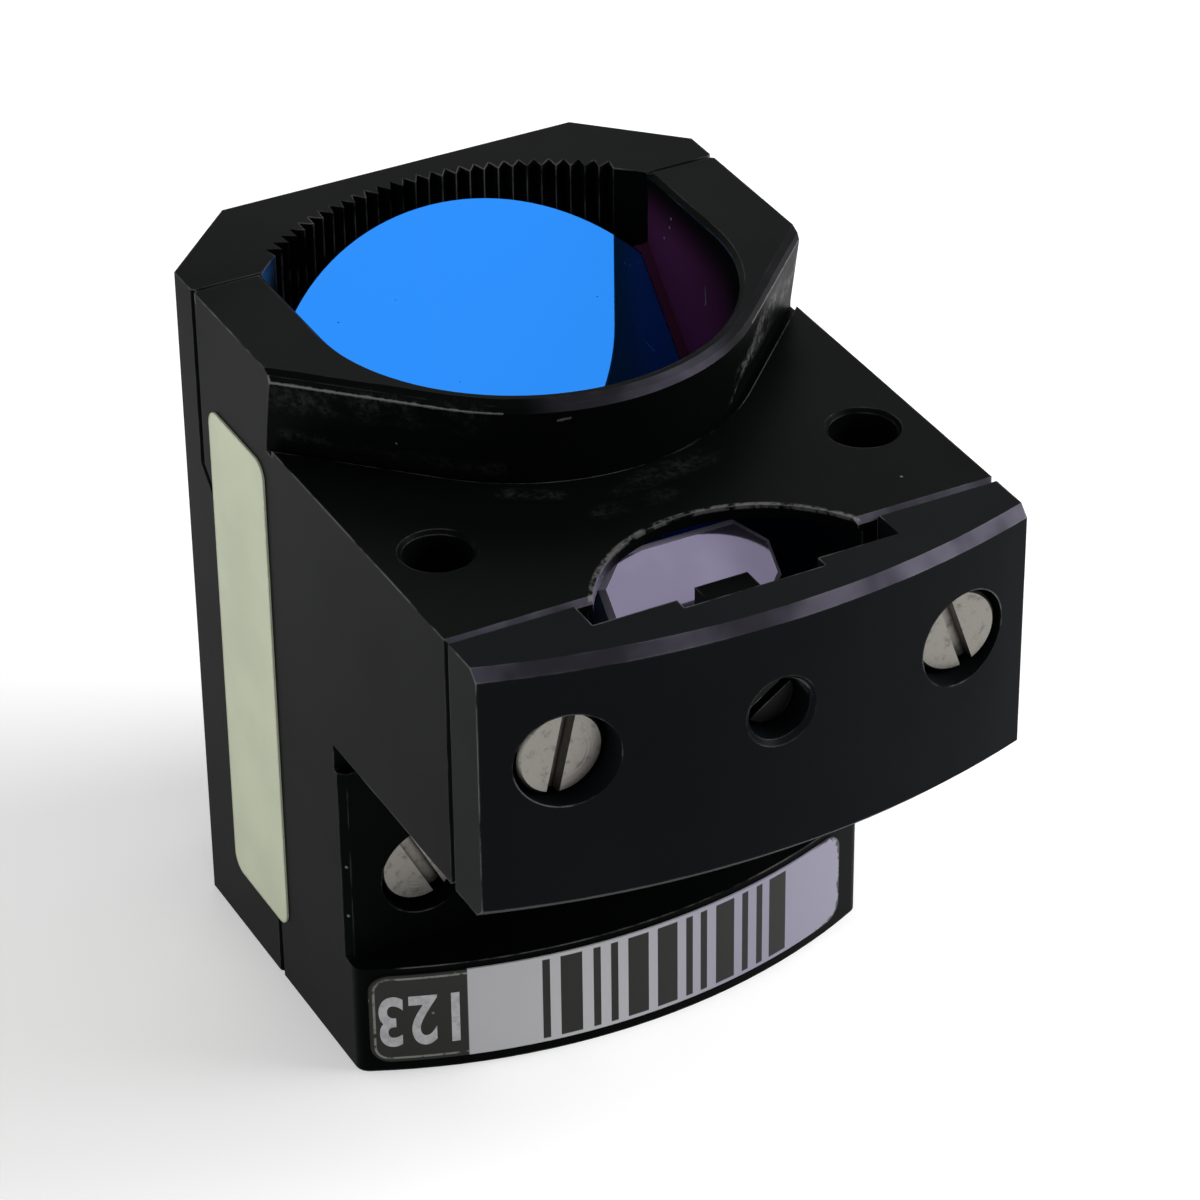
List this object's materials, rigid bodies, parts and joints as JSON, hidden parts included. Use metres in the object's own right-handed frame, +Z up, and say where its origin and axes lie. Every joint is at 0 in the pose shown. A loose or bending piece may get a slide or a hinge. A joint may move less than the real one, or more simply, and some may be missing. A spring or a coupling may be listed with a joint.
{
  "type": "dichroic mirror module",
  "caption": "Black microscope beam splitter block: split halves clamp a coated mirror at 45 degrees between light ports, with a dovetail collar, a curved front plate and a labelled foot.",
  "frame": {"origin": "centre of the lower light port in the base plane, midway between the side faces", "axes": "+Z up along the lower and upper light ports to the collar, +Y along the rear light port out of the rear face, the curved front plate towards -Y, X = 0 the plane of symmetry"},
  "size_m": [0.0361, 0.0493, 0.0464],
  "materials": {
    "black_anodised": "satin black anodised",
    "nickel_steel": "turned, dull nickel",
    "blackened_steel": "blackened",
    "dichroic_glass": "polished, blue reflecting coating",
    "trap_glass": "polished face, coated back",
    "felt": "soft",
    "pale_film": "matt",
    "printed_film": "semi-gloss, with dark number field and bars"
  },
  "bodies": {
    "root": {"front_body": "black_anodised", "rear_body": "black_anodised", "front_plate": "black_anodised", "trap_holder": "black_anodised", "mirror_carrier": "black_anodised", "plate_screw_left": "nickel_steel", "plate_screw_right": "nickel_steel", "body_screw_left": "nickel_steel", "body_screw_right": "nickel_steel", "dowel_left": "nickel_steel", "dowel_right": "nickel_steel", "trap_set_screw": "blackened_steel", "dichroic_mirror": "dichroic_glass", "trap_glass": "trap_glass", "carrier_pad_left": "felt", "carrier_pad_right": "felt", "side_label": "pale_film", "foot_label": "printed_film"}
  },
  "joints": []
}
